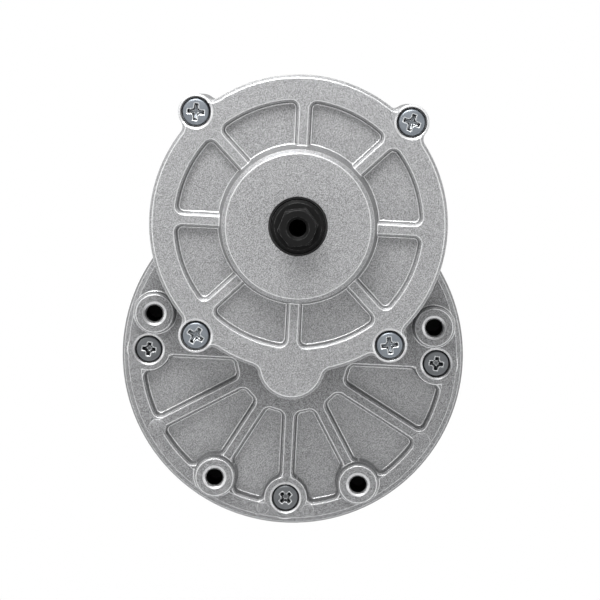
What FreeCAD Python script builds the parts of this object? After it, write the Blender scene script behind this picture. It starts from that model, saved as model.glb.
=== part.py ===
import FreeCAD, Part
import Sketcher
import math
import os

# Gear motor for a power wheelchair: a brushed motor drives a single gear stage in a die-cast case.
# The origin lies on the output shaft's axis, in the plane of the cover's hub face.
# -Y points out along the output shaft, +X to the right and +Z up, away from the motor.
# Lengths are in millimetres and angles in degrees.

doc = FreeCAD.newDocument("WheelchairMotor")
sheet = doc.addObject("Spreadsheet::Sheet", "Sizes")
rows = []


class Size:
    """A size with its number and with the sheet expression that gives it."""

    def __init__(self, number, text):
        self.number = number
        self.text = text

    def __add__(self, other):
        other = as_size(other)
        return Size(self.number + other.number, "(%s + %s)" % (self.text, other.text))

    def __sub__(self, other):
        other = as_size(other)
        return Size(self.number - other.number, "(%s - %s)" % (self.text, other.text))

    def __mul__(self, other):
        other = as_size(other)
        return Size(self.number * other.number, "(%s * %s)" % (self.text, other.text))

    def __truediv__(self, other):
        other = as_size(other)
        return Size(self.number / other.number, "(%s / %s)" % (self.text, other.text))

    def __neg__(self):
        return Size(-self.number, "(0 - %s)" % self.text)

    def __radd__(self, other):
        return as_size(other) + self

    def __rsub__(self, other):
        return as_size(other) - self

    def __rmul__(self, other):
        return as_size(other) * self


def as_size(value):
    if isinstance(value, Size):
        return value
    return Size(float(value), repr(float(value)))


def size(name, number, note):
    """Write one driving size in the sheet, on a row of its own."""
    rows.append(name)
    row = len(rows)
    sheet.set("A%d" % row, name)
    sheet.set("B%d" % row, str(number))
    sheet.set("C%d" % row, note)
    sheet.setAlias("B%d" % row, name)
    return Size(float(number), "Sizes." + name)


def sine(angle):
    return Size(math.sin(math.radians(angle.number)), "sin(%s)" % angle.text)


def cosine(angle):
    return Size(math.cos(math.radians(angle.number)), "cos(%s)" % angle.text)


def bind(thing, path, value):
    thing.setExpression(path, as_size(value).text)


# Gear pair
gear_module = size("gear_module", 0.8, "module of the gear pair")
pinion_teeth = size("pinion_teeth", 10, "teeth on the armature shaft")
gear_teeth = size("gear_teeth", 92, "teeth on the output gear")
pressure_angle = size("pressure_angle", 20, "pressure angle")
profile_shift = size("profile_shift", 0.4, "shift of the tooth profile, out on the pinion, in on the gear")
tooth_root_room = size("tooth_root_room", 0.25, "room under the tooth tips, in modules")
tooth_thinning = size("tooth_thinning", 0.1, "how much thinner each tooth is for backlash")
pinion_tip_cut = size("pinion_tip_cut", 0.12, "turned off the pinion's tips so that they aren't sharp")
nearly_straight_from = size("nearly_straight_from", 40, "teeth above which a flank is made straight")
gear_face = size("gear_face", 10, "face width of the output gear")
pinion_face = size("pinion_face", 12, "length of the pinion's teeth")

# Gear case
gear_room = size("gear_room", 0.9, "from the gear's tips to the case wall")
case_wall = size("case_wall", 4.6, "wall of the gear case")
ear_stand = size("ear_stand", 0.7, "screw ears' centres outside the case outline")
ear_radius = size("ear_radius", 5.1, "screw ears")
upper_ear_angle = size("upper_ear_angle", 45, "upper ears, from straight up")
lower_ear_angle = size("lower_ear_angle", 40, "lower ears, from straight down")
lobe_radius = size("lobe_radius", 9.75, "lobe over the pinion")
corner_blend = size("corner_blend", 2.5, "hollow corners of the case outline")
pinion_room = size("pinion_room", 1.4, "from the pinion's tips to the case wall")

# Cover
hub_height = size("hub_height", 6.5, "hub face above the cover's rim")
cover_thickness = size("cover_thickness", 5.5, "cover from rim to joint")
gasket_thickness = size("gasket_thickness", 0.5, "gasket in the joint")
hub_radius = size("hub_radius", 23.1, "hub at the bottom of the pockets")
hub_cover = size("hub_cover", 1.5, "how far the pockets start under the hub")
hub_taper = size("hub_taper", 9, "draft of the hub's side")
hub_edge = size("hub_edge", 1.0, "rounded edge of the hub face")
rim_inner_radius = size("rim_inner_radius", 35.3, "outer wall of the cover's pockets")
cover_rib = size("cover_rib", 3.5, "ribs between the pockets")
cover_pockets = size("cover_pockets", 8, "pockets around the hub")
cover_pocket_depth = size("cover_pocket_depth", 3.0, "pockets below the rim")
pocket_corner = size("pocket_corner", 2.0, "pocket corners at the rim")
cover_edge = size("cover_edge", 0.9, "rounded outer edge of the cover")
pocket_edge = size("pocket_edge", 0.5, "rounded edges of the pockets")
pocket_taper = size("pocket_taper", 10, "draft of the pockets' walls")
shaft_opening = size("shaft_opening", 8.4, "opening around the shaft, radius")
bearing_set_back = size("bearing_set_back", 2.6, "front bearing behind the hub face")
inner_boss_height = size("inner_boss_height", 2.0, "bearing boss inside the cover")
inner_boss_wall = size("inner_boss_wall", 3.0, "wall of that boss")

# Screws
screw_radius = size("screw_radius", 2.0, "case screws, thread radius")
screw_head_radius = size("screw_head_radius", 4.0, "screw heads")
screw_head_height = size("screw_head_height", 2.5, "screw heads")
screw_room = size("screw_room", 0.2, "around a screw in a plain hole")
thread_room = size("thread_room", 0.02, "around a screw in its thread")
cross_width = size("cross_width", 0.95, "slots of the cross recess")
cross_span = size("cross_span", 4.6, "cross recess, tip to tip")
cross_depth = size("cross_depth", 1.5, "cross recess")
head_bevel = size("head_bevel", 0.8, "bevelled edge of the heads")
cover_recess_radius = size("cover_recess_radius", 4.4, "recess around a cover screw")
recess_depth = size("recess_depth", 2.7, "screw recesses")
cover_screw_length = size("cover_screw_length", 22, "cover screws under the head")
tap_room = size("tap_room", 1, "tapped holes beyond the screw ends")
through_screw_hold = size("through_screw_hold", 8.7, "screws through the motor, in the rear end bell")

# Mounting flange
rim_to_flange = size("rim_to_flange", 21.5, "cover rim to flange face")
flange_lip = size("flange_lip", 1, "mounting flange beyond the can")
flange_thickness = size("flange_thickness", 10, "mounting flange")
flange_edge = size("flange_edge", 2.0, "rounded edge of the flange")
fixing_inset = size("fixing_inset", 4.5, "circle of bosses and screws, inside the can's wall")
boss_height = size("boss_height", 3, "mounting bosses above the flange face")
boss_base_radius = size("boss_base_radius", 6.4, "mounting boss at the flange face")
boss_taper = size("boss_taper", 7, "draft of the mounting bosses")
boss_edge = size("boss_edge", 0.5, "bevelled edge of the mounting bosses")
boss_edge_angle = size("boss_edge_angle", 45, "that bevel, from the boss's axis")
upper_boss_angle = size("upper_boss_angle", 15, "upper bosses above the motor's middle")
lower_boss_angle = size("lower_boss_angle", 60, "lower bosses below the motor's middle")
mount_thread_radius = size("mount_thread_radius", 2.5, "mounting thread, inner radius")
mount_thread_depth = size("mount_thread_depth", 11, "mounting thread")
mount_countersink = size("mount_countersink", 2.9, "countersink of the mounting thread, radius")
screw_seat_radius = size("screw_seat_radius", 6.4, "seats of the through screws")
flange_recess_radius = size("flange_recess_radius", 4.2, "recess around a through screw")
flange_pockets = size("flange_pockets", 6, "pockets of the flange")
flange_pocket_inner = size("flange_pocket_inner", 17, "inner end of the flange pockets")
flange_rim = size("flange_rim", 6.1, "flange outside its pockets")
flange_rib = size("flange_rib", 3.4, "ribs of the flange")
flange_pocket_depth = size("flange_pocket_depth", 3.5, "flange pockets")
flange_inner_corner = size("flange_inner_corner", 2.2, "inner corners of the flange pockets")

# Motor
can_radius = size("can_radius", 50, "motor can")
can_wall = size("can_wall", 2.5, "wall of the can")
spigot_height = size("spigot_height", 3, "flange spigot inside the can")
spigot_room = size("spigot_room", 0.1, "spigot in the can, radial")
magnet_thickness = size("magnet_thickness", 8.6, "field magnets")
magnet_overhang = size("magnet_overhang", 4, "magnets beyond the stack at each end")
magnet_count = size("magnet_count", 4, "field magnets")
magnet_angle = size("magnet_angle", 68, "each magnet around the axis")
air_gap = size("air_gap", 0.8, "magnets to armature")
core_length = size("core_length", 34, "lamination stack")
slot_count = size("slot_count", 16, "armature slots")
end_wall = size("end_wall", 3, "wall of the rear end bell")
end_depth = size("end_depth", 13, "rear end bell behind the can")

core_set_back = size("core_set_back", 16, "lamination stack behind the flange")
slot_depth = size("slot_depth", 14, "armature slots")
slot_mouth = size("slot_mouth", 2.4, "mouth of an armature slot")
slot_lip = size("slot_lip", 1.4, "lips at the mouth of a slot")
slot_outer_width = size("slot_outer_width", 9, "slot under its lips")
slot_inner_width = size("slot_inner_width", 4.6, "slot at its bottom")
winding_room = size("winding_room", 0.1, "windings in their slots")
winding_overhang = size("winding_overhang", 7, "windings beyond the stack")
winding_inner_radius = size("winding_inner_radius", 13, "inside of the windings' ends")
commutator_radius = size("commutator_radius", 15.5, "commutator")
commutator_bore = size("commutator_bore", 9.5, "inside of the commutator bars")
commutator_length = size("commutator_length", 13, "commutator")
commutator_gap = size("commutator_gap", 0.5, "between two commutator bars")
commutator_set_back = size("commutator_set_back", 2, "commutator behind the windings")
can_beyond_commutator = size("can_beyond_commutator", 2, "can behind the commutator")
brush_width = size("brush_width", 6, "brushes around the commutator")
brush_length = size("brush_length", 10, "brushes along the axis")
brush_height = size("brush_height", 12, "brushes out from the commutator")
brush_count = size("brush_count", 4, "brushes")
brush_room = size("brush_room", 0.05, "brushes in their holders and on the commutator")
holder_wall = size("holder_wall", 0.8, "brush holders")
holder_gap = size("holder_gap", 2, "brush holders off the commutator")
spring_space = size("spring_space", 4.7, "room for a spring behind its brush")
spring_thickness = size("spring_thickness", 0.4, "strip of the brush springs")
spring_legs = size("spring_legs", 4, "legs of the zigzag springs behind the brushes")
spring_margin = size("spring_margin", 2.5, "springs narrower than the brushes, each side")
plate_thickness = size("plate_thickness", 2, "brush plate")
plate_gap = size("plate_gap", 2.5, "brush plate off the commutator")
plate_screw_radius = size("plate_screw_radius", 1.5, "screws of the brush plate")
plate_screw_length = size("plate_screw_length", 8, "screws of the brush plate, under the head")
plate_screw_head = size("plate_screw_head", 2.8, "heads of those screws, radius")
plate_screw_head_height = size("plate_screw_head_height", 2, "heads of those screws")
plate_screw_inset = size("plate_screw_inset", 6, "circle of those screws, inside the can's wall")
plate_screw_angle = size("plate_screw_angle", 67.5, "first of those screws, from +X")
plate_screw_turn = size("plate_screw_turn", 20, "cross recesses of those screws")
end_spigot_height = size("end_spigot_height", 1, "end bell inside the can")
end_edge = size("end_edge", 3, "rounded back edge of the end bell")
end_boss_radius = size("end_boss_radius", 5.3, "bosses for the through screws")
plate_boss_radius = size("plate_boss_radius", 3.6, "bosses for the brush plate")
grommet_pad_radius = size("grommet_pad_radius", 6.2, "flat pad under the cable grommet")
grommet_pad_stand = size("grommet_pad_stand", 1, "that pad above the end bell")
grommet_radius = size("grommet_radius", 4.2, "cable grommet in its hole")
grommet_flange_radius = size("grommet_flange_radius", 5.8, "collar of the cable grommet")
grommet_flange = size("grommet_flange", 1.5, "collar of the cable grommet")
grommet_bore = size("grommet_bore", 2.6, "cable hole in the grommet, radius")
washer_thickness = size("washer_thickness", 0.8, "wave washer behind the rear motor bearing")
washer_room = size("washer_room", 0.2, "that washer in its seat")
end_hub_stand = size("end_hub_stand", 1.5, "raised middle of the end bell's back")
end_hub_edge = size("end_hub_edge", 0.8, "rounded edge of that middle")

# Shafts and bearings
hex_sides = size("hex_sides", 6, "sides of the drive hexagon")
hex_across = size("hex_across", 10, "drive hexagon across flats")
hex_length = size("hex_length", 7.4, "drive hexagon")
hex_turn = size("hex_turn", 10, "a corner of the hexagon from +X")
chamfer_slope = size("chamfer_slope", 1.2, "chamfer of the hexagon's end, along the axis for each mm inwards")
collar_stand = size("collar_stand", 0.6, "shaft collar in front of the hub face")
shaft_radius = size("shaft_radius", 7.5, "output shaft in its bearings")
shaft_shoulder = size("shaft_shoulder", 9.5, "shoulder in front of the gear")
shoulder_length = size("shoulder_length", 1.6, "shoulder in front of the gear")
gear_seat_radius = size("gear_seat_radius", 8.5, "output shaft in the gear")
gear_hub_length = size("gear_hub_length", 12, "hub of the gear")
gear_hub_radius = size("gear_hub_radius", 13, "hub of the gear")
gear_web = size("gear_web", 5, "web of the gear")
gear_rim = size("gear_rim", 3.6, "rim under the gear's teeth")
key_width = size("key_width", 5, "key of the gear")
key_depth = size("key_depth", 3, "key in the shaft")
key_length = size("key_length", 10, "key of the gear")
end_thread_radius = size("end_thread_radius", 2.5, "thread in the shaft end, inner radius")
end_thread_depth = size("end_thread_depth", 18, "thread in the shaft end")
end_countersink = size("end_countersink", 3.25, "countersink in the shaft end, radius")
collar_chamfer = size("collar_chamfer", 0.8, "bright edge of the shaft collar")
shaft_end_room = size("shaft_end_room", 0.3, "rear end of the output shaft to its seat's floor")
key_set_back = size("key_set_back", 1, "key behind the gear seat's front")
key_room = size("key_room", 0.02, "key in the gear")
web_holes = size("web_holes", 4, "holes in the gear's web")
web_hole_radius = size("web_hole_radius", 5, "holes in the gear's web")
gear_rim_set_back = size("gear_rim_set_back", 0.5, "gear rim behind the front of its hub")
gear_spigot = size("gear_spigot", 0.6, "gear hub's step against the rear bearing")
gear_spigot_radius = size("gear_spigot_radius", 9.8, "that step")
journal_radius = size("journal_radius", 3, "pinion's journal in its bush")
pinion_set_back = size("pinion_set_back", 2.5, "pinion's teeth behind the joint")
pinion_neck = size("pinion_neck", 0.8, "step from the teeth to the shaft")
armature_shoulder = size("armature_shoulder", 7, "armature shaft in its stack")
rear_journal_radius = size("rear_journal_radius", 5, "armature shaft in its rear bearing")
rear_motor_bearing_radius = size("rear_motor_bearing_radius", 13, "rear motor bearing, outer radius")
front_ball = size("front_ball", 2.975, "balls of the front output bearing, radius")
front_pitch = size("front_pitch", 12.5, "their circle")
rear_ball = size("rear_ball", 2.38, "balls of the rear output bearing, radius")
rear_pitch = size("rear_pitch", 11.75, "their circle")
motor_ball = size("motor_ball", 2.38, "balls of the motor bearings, radius")
motor_front_pitch = size("motor_front_pitch", 10, "circle of the front motor bearing's balls")
motor_rear_pitch = size("motor_rear_pitch", 9, "circle of the rear motor bearing's balls")
ball_shoulder = size("ball_shoulder", 0.55, "ring shoulders from the balls' circle, in ball radii")
cage_rim = size("cage_rim", 0.4, "ball cages beside the balls")
ball_room = size("ball_room", 0.3, "ball sets beside the rings")
running_room = size("running_room", 0.03, "plain journal in its bush, radial")

# Bearings and seal
bearing_radius = size("bearing_radius", 17.5, "front output bearing, outer radius")
bearing_width = size("bearing_width", 11, "front output bearing")
bush_radius = size("bush_radius", 5, "bush at the pinion's end, outer radius")
bush_length = size("bush_length", 5, "bush at the pinion's end")
bush_set_back = size("bush_set_back", 1.9, "bush behind the cover's rim")
bush_wall = size("bush_wall", 1.1, "cover around the bush")
rear_bearing_radius = size("rear_bearing_radius", 16, "rear output bearing, outer radius")
rear_bearing_width = size("rear_bearing_width", 9, "rear output bearing")
motor_bearing_radius = size("motor_bearing_radius", 14, "front motor bearing, outer radius")
motor_bearing_width = size("motor_bearing_width", 8, "motor bearings")
motor_shaft_radius = size("motor_shaft_radius", 6, "armature shaft in its front bearing")
seal_radius = size("seal_radius", 11, "shaft seal, outer radius")
seal_width = size("seal_width", 4.2, "shaft seal")
seal_room = size("seal_room", 0.2, "beside the shaft seal")
seal_wall = size("seal_wall", 1.4, "outer wall of the shaft seal")
seal_back = size("seal_back", 1.2, "back wall of the shaft seal")
seal_lip = size("seal_lip", 0.8, "lip of the shaft seal")
wall_in_front_of_seal = size("wall_in_front_of_seal", 2, "between the gear space and the seal")

# Back of the housing
case_back_pocket_depth = size("case_back_pocket_depth", 6, "pockets in the back of the gear case")
case_back_rib = size("case_back_rib", 3.5, "ribs between those pockets")
case_back_inset = size("case_back_inset", 1, "those pockets inside the wall of the gear space")
case_back_hub = size("case_back_hub", 20, "rear bearing hub")
back_pocket_angle = size("back_pocket_angle", 45, "from one of those pockets to the next")
back_pocket_count = size("back_pocket_count", 4, "pockets in the back of the gear case")
motor_hub_wall = size("motor_hub_wall", 3.5, "hub around the front motor bearing")
spigot_wall = size("spigot_wall", 1.8, "spigot")

centre_distance = gear_module * (pinion_teeth + gear_teeth) / 2
motor_z = -centre_distance
gear_tip = gear_module * (gear_teeth / 2 + 1 - profile_shift)
pinion_tip = gear_module * (pinion_teeth / 2 + 1 + profile_shift) - pinion_tip_cut
gear_root = gear_module * (gear_teeth / 2 - 1 - tooth_root_room - profile_shift)
case_radius = gear_tip + gear_room + case_wall
cavity_radius = gear_tip + gear_room
ear_circle = case_radius + ear_stand
flange_radius = can_radius + flange_lip
fixing_radius = can_radius - can_wall - fixing_inset
flange_pocket_outer = flange_radius - flange_rim
plate_screw_circle = can_radius - can_wall - plate_screw_inset
holder_inner_radius = commutator_radius + holder_gap
holder_height = brush_height - holder_gap + spring_space + holder_wall
plate_inner_radius = commutator_radius + plate_gap

# Lengths along the motor
magnet_length = core_length + 2 * magnet_overhang
magnet_set_back = core_set_back - magnet_overhang
commutator_from_core = core_length + winding_overhang + commutator_set_back
can_length = core_set_back + commutator_from_core + commutator_length + can_beyond_commutator
through_screw_length = flange_thickness - recess_depth + can_length + through_screw_hold

# Depths behind the hub face, from front to back
rim_y = hub_height
joint_y = rim_y + cover_thickness
case_y = joint_y + gasket_thickness
flange_y = rim_y + rim_to_flange
flange_back_y = flange_y + flange_thickness
front_bearing_y = bearing_set_back
can_back_y = flange_back_y + can_length
bush_y = rim_y + bush_set_back
gear_seat_y = front_bearing_y + bearing_width + shoulder_length
rear_bearing_y = gear_seat_y + gear_hub_length
cavity_floor_y = rear_bearing_y
seal_y = cavity_floor_y + wall_in_front_of_seal
motor_bearing_y = seal_y + seal_width + seal_room

doc.recompute()


def body(label, z=0, y=0):
    """A new body, placed z above and y behind the origin."""
    made = doc.addObject("PartDesign::Body", label)
    made.Label = label
    bind(made, "Placement.Base.z", z)
    bind(made, "Placement.Base.y", y)
    return made


def new_sketch(owner, plane):
    sketch = owner.newObject("Sketcher::SketchObject", owner.Label + "_sketch")
    face = [item for item in owner.Origin.OriginFeatures if item.Role == plane][0]
    sketch.AttachmentSupport = [(face, "")]
    sketch.MapMode = "FlatFace"
    return sketch


def front_sketch(owner, y, z=0):
    """A sketch seen from the front, y behind the body's origin, with its centre z above it."""
    sketch = new_sketch(owner, "XZ_Plane")
    bind(sketch, "AttachmentOffset.Base.z", -as_size(y))
    bind(sketch, "AttachmentOffset.Base.y", z)
    return sketch


def vector(x, y):
    return FreeCAD.Vector(as_size(x).number, as_size(y).number, 0)


def hold(sketch, kind, *where):
    """Add one constraint whose last value is a size, and bind it."""
    value = as_size(where[-1])
    index = sketch.addConstraint(Sketcher.Constraint(kind, *where[:-1], value.number))
    bind(sketch, "Constraints[%d]" % index, value)


def circle(sketch, x, z, radius):
    made = Part.Circle(vector(x, z), FreeCAD.Vector(0, 0, 1), as_size(radius).number)
    curve = sketch.addGeometry(made, False)
    hold(sketch, "DistanceX", -1, 1, curve, 3, x)
    hold(sketch, "DistanceY", -1, 1, curve, 3, z)
    hold(sketch, "Radius", curve, radius)


def outline(sketch, points):
    """A closed outline of straight lines with every corner held by two sizes."""
    count = len(points)
    for index in range(count):
        start = vector(*points[index])
        end = vector(*points[(index + 1) % count])
        sketch.addGeometry(Part.LineSegment(start, end), False)
    for index in range(count):
        following = (index + 1) % count
        sketch.addConstraint(Sketcher.Constraint("Coincident", index, 2, following, 1))
        hold(sketch, "DistanceX", -1, 1, index, 1, points[index][0])
        hold(sketch, "DistanceY", -1, 1, index, 1, points[index][1])


def closed_curve(sketch, curves):
    """A closed outline of given lines and arcs, each starting where the last one ends."""
    for curve in curves:
        sketch.addGeometry(curve, False)
    for index in range(len(curves)):
        sketch.addConstraint(Sketcher.Constraint("Block", index))


def pad(sketch, length, back=False, taper=None):
    """Material from the sketch towards the front, or towards the back."""
    owner = sketch.getParentGeoFeatureGroup()
    made = owner.newObject("PartDesign::Pad", owner.Label + "_pad")
    made.Profile = sketch
    made.Refine = False
    made.Reversed = back
    bind(made, "Length", length)
    if taper is not None:
        bind(made, "TaperAngle", -taper)
    doc.recompute()
    return made


def pocket(sketch, depth, forward=False, taper=None):
    """A cut from the sketch towards the back, or towards the front."""
    owner = sketch.getParentGeoFeatureGroup()
    before = owner.Shape.Volume
    made = owner.newObject("PartDesign::Pocket", owner.Label + "_pocket")
    made.Profile = sketch
    made.Refine = False
    made.Reversed = forward
    bind(made, "Length", depth)
    if taper is not None:
        bind(made, "TaperAngle", taper)
    doc.recompute()
    if not owner.Shape.Volume < before:
        raise ValueError(made.Label + " cuts nothing")
    return made


def round_pad(owner, y, length, places, radius, taper=None):
    """Round bosses that end at the depth y and reach towards the front."""
    sketch = front_sketch(owner, y)
    for x, z in places:
        circle(sketch, x, z, radius)
    return pad(sketch, length, taper=taper)


def round_pocket(owner, y, depth, places, radius):
    """Round holes that start at the depth y and run towards the back."""
    sketch = front_sketch(owner, y)
    for x, z in places:
        circle(sketch, x, z, radius)
    return pocket(sketch, depth)


def turn(owner, points, cut=False, z=0):
    """A turned form from (radius, depth) corners, added or cut, about an axis z above the body's own."""
    sketch = new_sketch(owner, "XY_Plane")
    bind(sketch, "AttachmentOffset.Base.z", z)
    outline(sketch, points)
    return spin(owner, sketch, cut)


def spin(owner, sketch, cut=False):
    kind = "PartDesign::Groove" if cut else "PartDesign::Revolution"
    before = owner.Shape.Volume if cut else 0
    made = owner.newObject(kind, owner.Label + "_turned")
    made.Profile = sketch
    made.ReferenceAxis = (sketch, ["V_Axis"])
    made.Angle = 360
    doc.recompute()
    if cut and not owner.Shape.Volume < before:
        raise ValueError(made.Label + " cuts nothing")
    return made


def around(feature, sketch, count, angle=None):
    """Repeat a feature about its sketch's centre: a full circle, or with one angle between copies."""
    owner = feature.getParentGeoFeatureGroup()
    pattern = owner.newObject("PartDesign::PolarPattern", owner.Label + "_pattern")
    pattern.Originals = [feature]
    pattern.Refine = False
    pattern.Axis = (sketch, ["N_Axis"])
    if angle is None:
        pattern.Angle = 360
    else:
        bind(pattern, "Angle", angle * (count - 1))
    bind(pattern, "Occurrences", count)
    owner.Tip = pattern
    doc.recompute()
    return pattern


def edges_where(shape, test):
    return ["Edge%d" % (index + 1) for index, edge in enumerate(shape.Edges) if test(edge)]


def round_off(owner, test, radius):
    """Round every edge of the body, in its own frame, that passes the test."""
    tip = owner.Tip
    names = edges_where(tip.Shape, test)
    if not names:
        raise ValueError(owner.Label + " has no edge to round")
    made = owner.newObject("PartDesign::Fillet", owner.Label + "_round")
    made.Base = (tip, names)
    bind(made, "Radius", radius)
    doc.recompute()
    if not made.isValid():
        raise ValueError(owner.Label + " isn't rounded")
    return made


def bevel(owner, test, width):
    """Bevel every edge of the body, in its own frame, that passes the test."""
    tip = owner.Tip
    names = edges_where(tip.Shape, test)
    if not names:
        raise ValueError(owner.Label + " has no edge to bevel")
    made = owner.newObject("PartDesign::Chamfer", owner.Label + "_bevel")
    made.Base = (tip, names)
    bind(made, "Size", width)
    doc.recompute()
    if not made.isValid():
        raise ValueError(owner.Label + " isn't bevelled")
    return made


def points_on(edge):
    start = edge.FirstParameter
    step = (edge.LastParameter - start) / 4
    return [edge.valueAt(start + step * index) for index in range(5)]


def at_depth(edge, y):
    return all(abs(point.y - as_size(y).number) < 0.001 for point in points_on(edge))


def from_axis(edge, x, z):
    """The edge's least and greatest distance from an axis along Y."""
    reach = [math.hypot(point.x - as_size(x).number, point.z - as_size(z).number) for point in points_on(edge)]
    return min(reach), max(reach)


def is_circle(edge, radius):
    return isinstance(edge.Curve, Part.Circle) and abs(edge.Curve.Radius - as_size(radius).number) < 0.001


def runs_along_y(edge):
    return isinstance(edge.Curve, Part.Line) and abs(edge.tangentAt(edge.FirstParameter).y) > 0.99


def group(label, shapes):
    """One node that holds several like solids."""
    made = doc.addObject("Part::Feature", label)
    made.Label = label
    made.Shape = Part.makeCompound(shapes)
    return made


def placed(shape, x=0, y=0, z=0, turn_angle=0):
    """A copy of a shape, turned about the Y axis and moved."""
    copy = shape.copy()
    rotation = FreeCAD.Rotation(FreeCAD.Vector(0, 1, 0), as_size(turn_angle).number)
    centre = FreeCAD.Vector(as_size(x).number, as_size(y).number, as_size(z).number)
    copy.Placement = FreeCAD.Placement(centre, rotation).multiply(copy.Placement)
    return copy


def sector(inner, outer, rib, angle, inner_corner, outer_corner, middle):
    """The outline of a pocket between two radial ribs of even width, as lines and arcs.

    The pocket lies between two circles about the sketch's centre. Its sides stay parallel to
    the middles of the ribs, and its corners are rounded at the outer and the inner circle.
    """
    half_rib = rib / 2
    half_angle = math.radians(angle / 2)

    def side_points(circle_radius, corner, sign):
        centre_distance_from_axis = circle_radius + sign * corner
        across = half_rib + corner
        along = math.sqrt(centre_distance_from_axis ** 2 - across ** 2)
        centre = (along, across)
        on_side = (along, half_rib)
        scale = circle_radius / centre_distance_from_axis
        on_circle = (along * scale, across * scale)
        return on_side, centre, on_circle

    def place(point, side):
        """Turn a point from the rib's own frame into the sketch."""
        turn_by = math.radians(middle) + side * half_angle
        along, across = point
        across = -side * across
        x = along * math.cos(turn_by) - across * math.sin(turn_by)
        z = along * math.sin(turn_by) + across * math.cos(turn_by)
        return FreeCAD.Vector(x, z, 0)

    def corner_arc(start, centre, end, radius):
        toward = (start + end) * 0.5 - centre
        toward.normalize()
        return Part.Arc(start, centre + toward * radius, end)

    def arc_about_centre(start, end, radius):
        toward = start + end
        toward.normalize()
        return Part.Arc(start, toward * radius, end)

    curves = []
    outer_right = [place(point, -1) for point in side_points(outer, outer_corner, -1)]
    outer_left = [place(point, 1) for point in side_points(outer, outer_corner, -1)]
    curves.append(corner_arc(*outer_right, outer_corner))
    curves.append(arc_about_centre(outer_right[2], outer_left[2], outer))
    curves.append(corner_arc(outer_left[2], outer_left[1], outer_left[0], outer_corner))
    if inner_corner > 0:
        inner_right = [place(point, -1) for point in side_points(inner, inner_corner, 1)]
        inner_left = [place(point, 1) for point in side_points(inner, inner_corner, 1)]
        curves.append(Part.LineSegment(outer_left[0], inner_left[0]))
        curves.append(corner_arc(*inner_left, inner_corner))
        curves.append(arc_about_centre(inner_left[2], inner_right[2], inner))
        curves.append(corner_arc(inner_right[2], inner_right[1], inner_right[0], inner_corner))
        curves.append(Part.LineSegment(inner_right[0], outer_right[0]))
    else:
        along = math.sqrt(inner ** 2 - half_rib ** 2)
        right = place((along, half_rib), -1)
        left = place((along, half_rib), 1)
        curves.append(Part.LineSegment(outer_left[0], left))
        curves.append(arc_about_centre(left, right, inner))
        curves.append(Part.LineSegment(right, outer_right[0]))
    return curves


def drafted_pocket(owner, y, depth, z, inner, outer, rib, angle, inner_corner, outer_corner, middle):
    """A pocket open to the front at the depth y. Its walls lean, so its floor is drawn and widened forward."""
    lean = depth.number * math.tan(math.radians(pocket_taper.number))
    sketch = front_sketch(owner, y + depth, z)
    closed_curve(sketch, sector(inner + lean, outer - lean, rib + 2 * lean, angle,
                                max(inner_corner - lean, 0), outer_corner - lean, middle))
    return pocket(sketch, depth, forward=True, taper=pocket_taper), sketch


# Case outline, shared by the cover, its gasket and the housing.
ear_places = []
for side in (1, -1):
    ear_places.append((side * ear_circle * sine(upper_ear_angle), ear_circle * cosine(upper_ear_angle)))
    ear_places.append((side * ear_circle * sine(lower_ear_angle), -ear_circle * cosine(lower_ear_angle)))


def case_outline(owner, y, thickness):
    """Pad the case outline: the gear's circle, the pinion's lobe and four screw ears."""
    disc = front_sketch(owner, y)
    circle(disc, 0, 0, case_radius)
    pad(disc, thickness)
    ears = front_sketch(owner, y)
    for x, z in ear_places:
        circle(ears, x, z, ear_radius)
    pad(ears, thickness)
    lobe = front_sketch(owner, y)
    circle(lobe, 0, motor_z, lobe_radius)
    pad(lobe, thickness)
    round_off(owner, runs_along_y, corner_blend)


# Gearbox cover: die-cast aluminium, with a ribbed face and the front bearing in its hub.
cover = body("gearbox_cover")
case_outline(cover, joint_y, cover_thickness)
bevel(cover, lambda edge: at_depth(edge, rim_y), cover_edge)

cover_pocket_angle = 360 / cover_pockets.number
first_pocket, pocket_sketch = drafted_pocket(
    cover, rim_y, cover_pocket_depth, 0, (hub_radius - hub_cover).number, rim_inner_radius.number,
    cover_rib.number, cover_pocket_angle, 0, pocket_corner.number, cover_pocket_angle / 2)
around(first_pocket, pocket_sketch, cover_pockets)
bevel(cover, lambda edge: at_depth(edge, rim_y)
      and from_axis(edge, 0, 0)[1] < rim_inner_radius.number + 0.1, pocket_edge)

hub_sketch = front_sketch(cover, rim_y + cover_pocket_depth)
circle(hub_sketch, 0, 0, hub_radius)
pad(hub_sketch, cover_pocket_depth + hub_height, taper=hub_taper)
bevel(cover, lambda edge: at_depth(edge, 0), hub_edge)

round_pocket(cover, rim_y, recess_depth, ear_places, cover_recess_radius)
round_pocket(cover, rim_y, cover_thickness, ear_places, screw_radius + screw_room)

output_axis = [(0, 0)]
motor_axis = [(0, motor_z)]
round_pad(cover, joint_y + inner_boss_height, inner_boss_height, output_axis, bearing_radius + inner_boss_wall)
round_pocket(cover, front_bearing_y, joint_y + inner_boss_height - front_bearing_y, output_axis, bearing_radius)
round_pocket(cover, 0, front_bearing_y, output_axis, shaft_opening)
round_pad(cover, bush_y + bush_length, bush_y + bush_length - joint_y, motor_axis, bush_radius + bush_wall)
round_pocket(cover, bush_y, bush_length, motor_axis, bush_radius)

# Gasket in the joint between cover and housing.
gasket = body("cover_gasket")
case_outline(gasket, case_y, gasket_thickness)
round_pocket(gasket, joint_y, gasket_thickness, output_axis, cavity_radius)
round_pocket(gasket, joint_y, gasket_thickness, motor_axis, pinion_tip + pinion_room)
round_pocket(gasket, joint_y, gasket_thickness, ear_places, screw_radius + screw_room)

# Gear housing: die-cast aluminium, a gear case and the motor's mounting flange in one piece.
housing = body("gear_housing")
case_outline(housing, flange_back_y, flange_back_y - case_y)

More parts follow.
